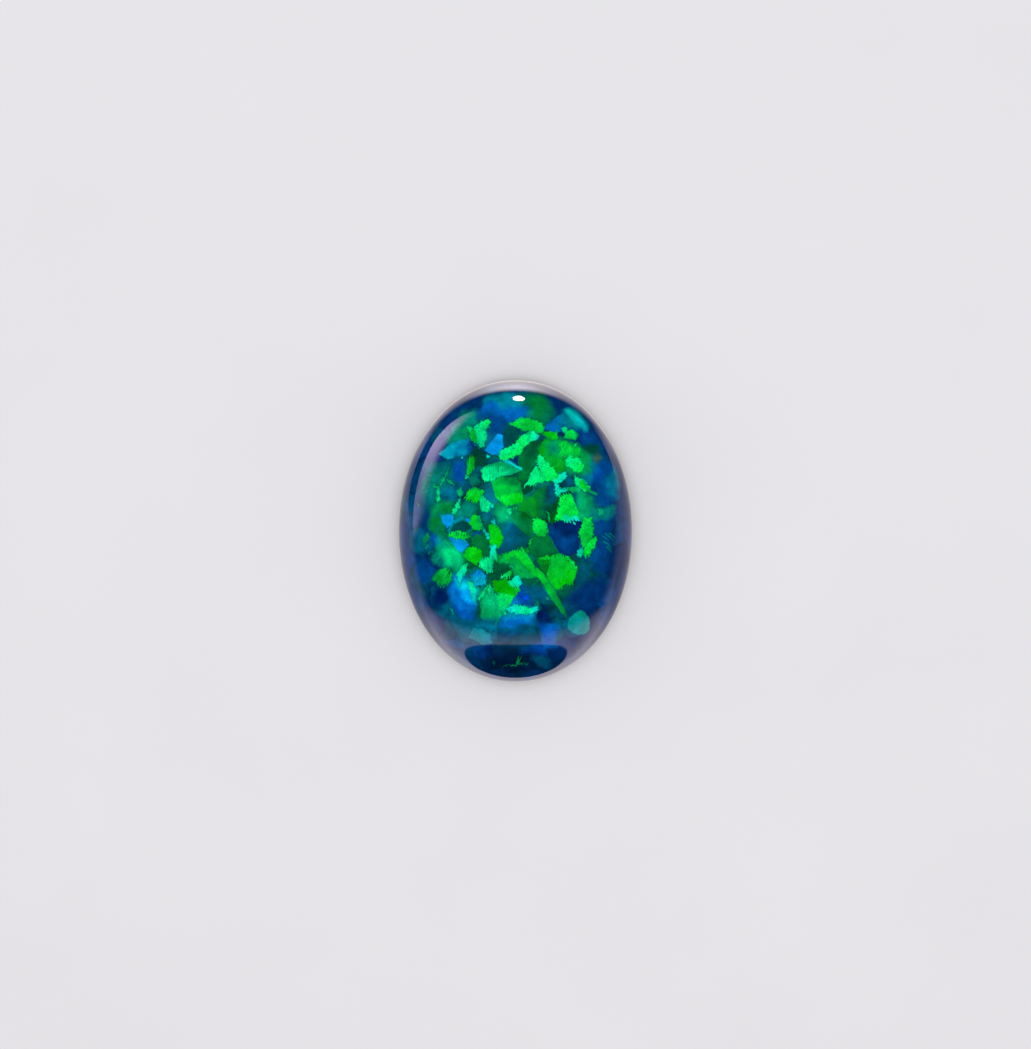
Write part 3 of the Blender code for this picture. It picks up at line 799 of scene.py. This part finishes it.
def outward_edges(corners):
    """Each edge of a convex outline as (outward u, outward v, minus its offset)."""
    area = sum(a[0] * b[1] - b[0] * a[1] for a, b in zip(corners, corners[1:] + corners[:1]))
    way = 1 if area > 0 else -1
    edges = []
    for a, b in zip(corners, corners[1:] + corners[:1]):
        length = math.hypot(b[0] - a[0], b[1] - a[1])
        out = (way * (b[1] - a[1]) / length, -way * (b[0] - a[0]) / length)
        edges.append((*out, -(out[0] * a[0] + out[1] * a[1])))
    return edges


def turn_of_tone(corners, heading):
    """The three numbers whose dot product with a plan point runs from 0 to 1 across the outline."""
    along = (math.cos(math.radians(heading)), math.sin(math.radians(heading)))
    reach = [along[0] * u + along[1] * v for u, v in corners]
    width = max(reach) - min(reach)
    return along[0] / width, along[1] / width, -min(reach) / width


def flake_group(corner_count):
    """The node group that lays a flake with this many corners over the colour below it."""
    edge_names = [f"Edge {n + 1}" for n in range(corner_count)]
    group, given = new_group(f"flake_of_{corner_count}", [
        ("Under", "Color"), ("First", "Color"), ("Last", "Color"), ("Plan", "Vector"),
        ("Turn of tone", "Vector"), ("Softness", "Float"), ("Grain", "Float"), ("Holes", "Float"),
        ("Shade", "Float")]
        + [(name, "Vector") for name in edge_names])
    outside = given["Holes"]
    for name in edge_names:
        beyond = add(group, "VectorMath", "DOT_PRODUCT",
                     {0: given["Plan"], 1: given[name]}).outputs["Value"]
        outside = add(group, "Math", "MAXIMUM", {0: outside, 1: beyond}).outputs[0]
    fade = add(group, "Math", "DIVIDE", {0: given["Shade"], 1: -SHADE_REACH}).outputs[0]
    shade = add(group, "Math", "MULTIPLY_ADD", {0: outside, 1: fade, 2: given["Shade"]}).outputs[0]
    shaded = add(group, "Mix", {"data_type": "RGBA", "blend_type": "MULTIPLY"},
                 {0: shade, 6: given["Under"], 7: SHADE}).outputs[MIX_COLOUR_OUT]
    change = add(group, "VectorMath", "DOT_PRODUCT",
                 {0: given["Plan"], 1: given["Turn of tone"]}).outputs["Value"]
    grained = add(group, "Math", "ADD", {0: change, 1: given["Grain"]}).outputs[0]
    tone = add(group, "Mix", {"data_type": "RGBA"},
               {0: grained, 6: given["First"], 7: given["Last"]}).outputs[MIX_COLOUR_OUT]
    steepness = add(group, "Math", "DIVIDE", {0: -0.5, 1: given["Softness"]}).outputs[0]
    cover = add(group, "Math", "MULTIPLY_ADD", {0: outside, 1: steepness, 2: 0.5}).outputs[0]
    close_group(group, add(group, "Mix", {"data_type": "RGBA"},
                           {0: cover, 6: shaded, 7: tone}).outputs[MIX_COLOUR_OUT])
    return group


flake_groups = {}


def lay_flake(under, row):
    """The colour after this flake is laid over what is there."""
    kind, first, last, heading, corners = row
    seen_plan, softness, grain, holes, shade = EDGES[kind]
    edges = outward_edges(corners)
    if len(edges) not in flake_groups:
        flake_groups[len(edges)] = flake_group(len(edges))
    sockets = {"Under": under, "First": linear(TONES[first]), "Last": linear(TONES[last]), "Plan": seen_plan,
               "Turn of tone": turn_of_tone(corners, heading), "Softness": softness,
               "Grain": grain, "Holes": holes, "Shade": shade}
    sockets.update({f"Edge {n + 1}": edge for n, edge in enumerate(edges)})
    return add(tree, "Group", {"node_tree": flake_groups[len(edges)]}, sockets).outputs[0]


for row in LOWER_FLAKES + UPPER_FLAKES + SMALL_FLAKES:
    colour = lay_flake(colour, row)
print(len(tree.nodes), "nodes")

# %% [markdown]
# Four things finish the polished dome. A fine speckle breaks every patch, as the grains in real play of
# colour do, and a slower mottling makes patches of one tone uneven. Beyond nine tenths of the way out the
# mosaic takes over, because the dome turns steep there. And the lowest millimetre is bare potch, the
# grey-black common opal that the colour bar sits on.

# %% Finish of the polished dome
OPAL_IOR = 1.45
SPECKLE_SIZE = 0.11
MOTTLE_SIZE = 0.6
HAZE_SIZE = 1.25
POTCH = linear("#0b1a26")
POTCH_TOP = 1.7


def levelled(noise, low, high):
    """A noise, mostly 0.3 to 0.7, as a level from low to high and never past them."""
    return add(tree, "MapRange", sockets={"Value": noise.outputs["Fac"], "From Min": 0.3, "From Max": 0.7,
                                          "To Min": low, "To Max": high}).outputs[0]


speckle = add(tree, "TexNoise", sockets={"Vector": place, "Scale": 1 / (SPECKLE_SIZE * MM), "Detail": 2.0})
speckle_light = levelled(speckle, 0.84, 1.13)
mottle = add(tree, "TexNoise", sockets={"Vector": place, "Scale": 1 / (MOTTLE_SIZE * MM), "Detail": 2.5})
mottle_light = levelled(mottle, 0.78, 1.26)
grain_light = add(tree, "Math", "MULTIPLY", {0: speckle_light, 1: mottle_light}).outputs[0]
to_edge = ramped(tree, from_centre, 0.92, 0.98, 0.0, 1.0)
edged = add(tree, "Mix", {"data_type": "RGBA"}, {0: to_edge, 6: colour, 7: mosaic}).outputs[MIX_COLOUR_OUT]
to_potch = ramped(tree, axes.outputs["Z"], POTCH_TOP, GIRDLE_TOP, 0.0, 1.0)
bodied = add(tree, "Mix", {"data_type": "RGBA"}, {0: to_potch, 6: edged, 7: POTCH}).outputs[MIX_COLOUR_OUT]
speckled = add(tree, "VectorMath", "SCALE", {0: bodied, "Scale": grain_light}).outputs[0]
tree.links.new(speckled, polish.inputs["Base Color"])

haze = add(tree, "TexNoise", sockets={"Vector": place, "Scale": 1 / (HAZE_SIZE * MM), "Detail": 2.0})
gloss = levelled(haze, 0.02, 0.045)
tree.links.new(gloss, polish.inputs["Roughness"])
polish.inputs["IOR"].default_value = OPAL_IOR
stone.data.materials.append(polished)
print("polished dome: IOR", OPAL_IOR, "and roughness 0.02 to 0.045")

# %% [markdown]
# The back is what the cutter leaves of the potch: sawn, then ground flat on a worn 600 grit disc, and
# never polished. The eye sees a matt grey-black with cloudy patches and short scratches in all directions.
# Real 600 grit marks are 0.02 mm wide, and they are drawn three times as wide so that they show.

# %% Ground potch of the back
SCRATCH_WIDTH = 0.06
SCRATCH_TURNS = (12, 71, 128)
SCRATCH_DEPTH = 0.02
BACK_CLOUDS_PER_MM = 0.35
ground = bpy.data.materials.new("ground_potch")
ground.use_nodes = True
tree = ground.node_tree
matt = tree.nodes["Principled BSDF"]
place = add(tree, "TexCoord").outputs["Object"]
back_mm = add(tree, "VectorMath", "SCALE", {0: place, "Scale": 1 / MM}).outputs[0]
clouds = add(tree, "TexNoise", sockets={
    "Vector": back_mm, "Scale": BACK_CLOUDS_PER_MM, "Detail": 4.0, "Distortion": 0.6})
cloud_ramp = add(tree, "ValToRGB", sockets={0: clouds.outputs["Fac"]})
for stop, position, code in zip(cloud_ramp.color_ramp.elements, (0.35, 0.68), ("#14191e", "#363d42")):
    stop.position = position
    stop.color = linear(code)
scratch_light = None
for turn in SCRATCH_TURNS:
    turned = add(tree, "Mapping", sockets={
        "Vector": back_mm, "Rotation": (0, 0, math.radians(turn)), "Scale": (0.12, 1.0, 1.0)}).outputs[0]
    scratch = add(tree, "TexNoise", sockets={"Vector": turned, "Scale": 1 / SCRATCH_WIDTH, "Detail": 1.0})
    height = scratch.outputs["Fac"]
    if scratch_light is None:
        scratch_light = height
    else:
        scratch_light = add(tree, "Math", "MAXIMUM", {0: scratch_light, 1: height}).outputs[0]
worn = add(tree, "MapRange", sockets={
    "Value": scratch_light, "From Min": 0.55, "From Max": 0.8, "To Min": 0.42, "To Max": 0.6}).outputs[0]
relief = add(tree, "Bump", sockets={"Strength": 0.5, "Distance": SCRATCH_DEPTH * MM, "Height": scratch_light})
tree.links.new(cloud_ramp.outputs[0], matt.inputs["Base Color"])
tree.links.new(worn, matt.inputs["Roughness"])
tree.links.new(relief.outputs[0], matt.inputs["Normal"])
matt.inputs["IOR"].default_value = OPAL_IOR
stone.data.materials.append(ground)
print("ground back: roughness 0.42 to 0.6")

# %% [markdown]
# The light is soft: a wide overhead panel and a pale room. Neither is let into the stone's mirror, since
# the photograph's dome is clear and dark at its crown. Colours go to the screen unchanged, so that a tone
# chosen by its code stays that tone.

# %% Soft light
ROOM_BRIGHTNESS = 0.62
scene = bpy.context.scene
scene.view_settings.view_transform = "Standard"
world = bpy.data.worlds.new("pale_room")
scene.world = world
world.use_nodes = True
backdrop = world.node_tree.nodes["Background"]
backdrop.inputs["Color"].default_value = linear("#f4f3f6")
backdrop.inputs["Strength"].default_value = ROOM_BRIGHTNESS
world.cycles_visibility.glossy = False

PANEL_SIZE = 0.30
PANEL_HEIGHT = 0.32
PANEL_WATTS = 0.55
panel_data = bpy.data.lights.new("overhead_panel", "AREA")
panel_data.size = PANEL_SIZE
panel_data.energy = PANEL_WATTS
panel = bpy.data.objects.new("overhead_panel", panel_data)
panel.location = (0, 0.03, PANEL_HEIGHT)
panel.visible_glossy = False
scene.collection.objects.link(panel)
print("panel", PANEL_SIZE, "m wide,", PANEL_HEIGHT, "m up")

# %% [markdown]
# A polished gem is judged by what it mirrors. The cards below are seen by the mirror alone: a small lamp
# beyond the top end for the white spark, a long window card on the left, a wall on either side, a broad
# sheet at the foot with a dark round of shadow in it, and a collar round the stone for the pale rim.
# Their places come from the law of reflection on the dome. How bright each part is comes from how light
# the photograph is where the dome mirrors that part.

# %% Light cards for the polish
FOOT_DISTANCE = 18.3
WALL_DISTANCE = 29.5


def card(name, corners, strength):
    """A flat card, in mm, that only the polish sees; strength makes its brightness from its tree."""
    mesh = bpy.data.meshes.new(name)
    mesh.from_pydata([Vector(c) * MM for c in corners], [], [tuple(range(len(corners)))])
    thing = bpy.data.objects.new(name, mesh)
    bpy.context.scene.collection.objects.link(thing)
    thing.visible_camera = False
    thing.visible_diffuse = False
    thing.visible_transmission = False
    thing.visible_volume_scatter = False
    thing.visible_shadow = False
    glow = bpy.data.materials.new(name)
    glow.use_nodes = True
    glow.node_tree.nodes.clear()
    spot = add(glow.node_tree, "TexCoord").outputs["Object"]
    spot_mm = add(glow.node_tree, "VectorMath", "SCALE", {0: spot, "Scale": 1 / MM}).outputs[0]
    parts = add(glow.node_tree, "SeparateXYZ", sockets={0: spot_mm}).outputs
    colour_code, power = strength(glow.node_tree, parts)
    shine = add(glow.node_tree, "Emission", sockets={"Color": linear(colour_code), "Strength": power})
    add(glow.node_tree, "OutputMaterial", sockets={"Surface": shine.outputs[0]})
    glow.cycles.emission_sampling = "NONE"
    mesh.materials.append(glow)
    return thing


def times(tree, first, second):
    """Two brightnesses multiplied."""
    return add(tree, "Math", "MULTIPLY", {0: first, 1: second}).outputs[0]


def lowered(tree, parts):
    """Height above a line that drops towards the top end, where the walls are dark further down."""
    beyond = add(tree, "Math", "SUBTRACT", {0: parts["Y"], 1: 3.0}).outputs[0]
    topward = add(tree, "Math", "MAXIMUM", {0: beyond, 1: 0.0}).outputs[0]
    return add(tree, "Math", "MULTIPLY_ADD", {0: topward, 1: 1.6, 2: parts["Z"]}).outputs[0]


def lamp_light(tree, parts):
    """A small bare lamp, white and even."""
    return "#ffffff", 34.0


def window_light(tree, parts):
    """Bright low down, brightest near the top end, and tapering off along a slant at its near end."""
    upward = ramped(tree, parts["Z"], 0.0, 7.6, 6.4, 0.0)
    rise = ramped(tree, parts["Y"], 7.0, 20.0, 0.44, 1.3)
    fall = ramped(tree, parts["Y"], 24.0, 50.0, 1.0, 0.08)
    slanted = add(tree, "Math", "MULTIPLY_ADD", {0: parts["Z"], 1: -0.5, 2: parts["Y"]}).outputs[0]
    ending = ramped(tree, slanted, -3.1, 0.5, 0.08, 1.0)
    return "#d4bfe8", times(tree, times(tree, rise, fall), times(tree, upward, ending))


def left_light(tree, parts):
    """Faint and low, and only where the window has ended."""
    wall = ramped(tree, lowered(tree, parts), -6.0, 1.0, 0.62, 0.0)
    return "#e2deea", times(tree, wall, ramped(tree, parts["Y"], -1.0, 3.0, 1.0, 0.0))


def right_light(tree, parts):
    """Faint and low, and a little brighter towards the foot."""
    wall = ramped(tree, lowered(tree, parts), -8.5, 3.5, 0.74, 0.0)
    return "#dcdcea", times(tree, wall, ramped(tree, parts["Y"], -4.0, -16.0, 1.0, 1.4))


def foot_light(tree, parts):
    """Bright low down and in the middle, dimmer in the corners, and dark inside the round of shadow."""
    sideways = add(tree, "Math", "MULTIPLY", {0: parts["X"], 1: parts["X"]}).outputs[0]
    bowed = add(tree, "Math", "MULTIPLY_ADD", {0: sideways, 1: 0.018, 2: parts["Z"]}).outputs[0]
    upward = ramped(tree, bowed, 8.8, 14.5, 1.0, 0.0)
    middle = ramped(tree, sideways, 100.0, 240.0, 2.0, 0.0)
    low = ramped(tree, parts["Z"], -4.0, 4.0, 2.2, 1.25)
    level = add(tree, "Math", "MAXIMUM", {0: middle, 1: low}).outputs[0]
    corners = ramped(tree, sideways, 330.0, 830.0, 1.0, 0.3)
    round_place = add(tree, "CombineXYZ", sockets={0: parts["X"], 1: parts["Z"], 2: 0.0}).outputs[0]
    shadow = add(tree, "Mapping", {"vector_type": "TEXTURE"}, {
        "Vector": round_place, "Location": (0.1, 2.3, 0), "Scale": (10.0, 7.9, 1.0)}).outputs[0]
    outside = add(tree, "VectorMath", "LENGTH", {0: shadow}).outputs["Value"]
    lit = ramped(tree, outside, 0.97, 1.03, 0.0, 1.0)
    return "#ecdedf", times(tree, times(tree, upward, lit), times(tree, level, corners))


def collar_light(tree, parts):
    """Dim along the sides, brighter past the foot, and brightest in the middle past the top end."""
    aside = add(tree, "Math", "ABSOLUTE", {0: parts["X"]}).outputs[0]
    spot = add(tree, "CombineXYZ", sockets={0: parts["X"], 1: parts["Y"], 2: 0.0}).outputs[0]
    span = (1 / HALF_WIDTH, 1 / HALF_LENGTH, 0)
    oval = add(tree, "VectorMath", "MULTIPLY", {0: spot, 1: span}).outputs[0]
    away = add(tree, "VectorMath", "LENGTH", {0: oval}).outputs["Value"]
    outward = times(tree, ramped(tree, away, 1.05, 1.4, 0.3, 1.0), ramped(tree, aside, 9.0, 13.0, 1.0, 0.5))
    footward = times(tree, ramped(tree, parts["Y"], -5.6, -10.4, 0.0, 1.85), outward)
    topward = ramped(tree, parts["Y"], 7.2, 13.5, 0.0, 8.2)
    top_middle = times(tree, topward, ramped(tree, aside, 0.0, 5.8, 1.0, 0.04))
    bright_top = times(tree, top_middle, ramped(tree, away, 0.95, 1.3, 0.05, 1.0))
    light = ramped(tree, parts["Y"], -6.0, -1.0, 0.48, 0.66)
    for part in (footward, bright_top, ramped(tree, parts["Y"], 4.5, 7.5, 0.0, 0.55)):
        light = add(tree, "Math", "ADD", {0: light, 1: part}).outputs[0]
    squared = add(tree, "Math", "MULTIPLY", {0: parts["X"], 1: parts["X"]}).outputs[0]
    beyond = add(tree, "Math", "MULTIPLY_ADD", {0: squared, 1: 0.155, 2: parts["Y"]}).outputs[0]
    far_fade = ramped(tree, beyond, 12.8, 16.6, 1.0, 0.0)
    near_fade = ramped(tree, parts["Y"], 6.0, 9.5, 1.0, 0.0)
    fade = add(tree, "Math", "MAXIMUM", {0: far_fade, 1: near_fade}).outputs[0]
    return "#ecdfde", times(tree, light, fade)


lamp_turns = [math.tau * i / 32 for i in range(32)]
card("spark_lamp", [(2.6 + 4.7 * math.cos(t), 69.0, 5.6 * math.sin(t) - 2.0) for t in lamp_turns], lamp_light)
card("window_card", [(-WALL_DISTANCE + 0.3, y, z) for y, z in (
    (-4.0, -1.7), (8, -4.4), (20, -7.6), (30, -6.5), (50, -0.5), (60, 10), (1.9, 10))], window_light)
for wall_name, wall_x, wall_light in (("left_wall", -WALL_DISTANCE, left_light),
                                      ("right_wall", WALL_DISTANCE, right_light)):
    card(wall_name, [(wall_x, y, z) for y, z in (
        (-FOOT_DISTANCE, -29), (26, -29), (26, 4), (-FOOT_DISTANCE, 4))], wall_light)
card("foot_sheet", [(x, -FOOT_DISTANCE, z) for x, z in (
    (-WALL_DISTANCE, -29), (WALL_DISTANCE, -29), (WALL_DISTANCE, 14), (-WALL_DISTANCE, 14))], foot_light)
card("floor_collar", [(x, y, 0.03) for x, y in (
    (0, 18.0), (-3.0, 16.7), (-5.0, 14.2), (-6.2, 12.1), (-7.0, 10.5), (-7.6, 9.0), (-7.9, 7.6),
    (-9.0, 6.0), (-10.0, 4.0), (-11.0, 2.4), (-13.5, 0.8), (-14.4, -1), (-14.4, -6), (-12.5, -9.5),
    (-9, -12.3), (0, -13.0), (9, -12.3), (12.5, -9.5), (14.5, -6), (14.0, 0), (12.6, 3.6), (10.4, 6.2),
    (8.6, 8.0), (7.7, 9.4), (7.0, 10.6), (6.2, 12.1), (5.0, 14.2), (3.0, 16.7))], collar_light)
print("cards for the lamp, the window, two walls, the foot and the rim")
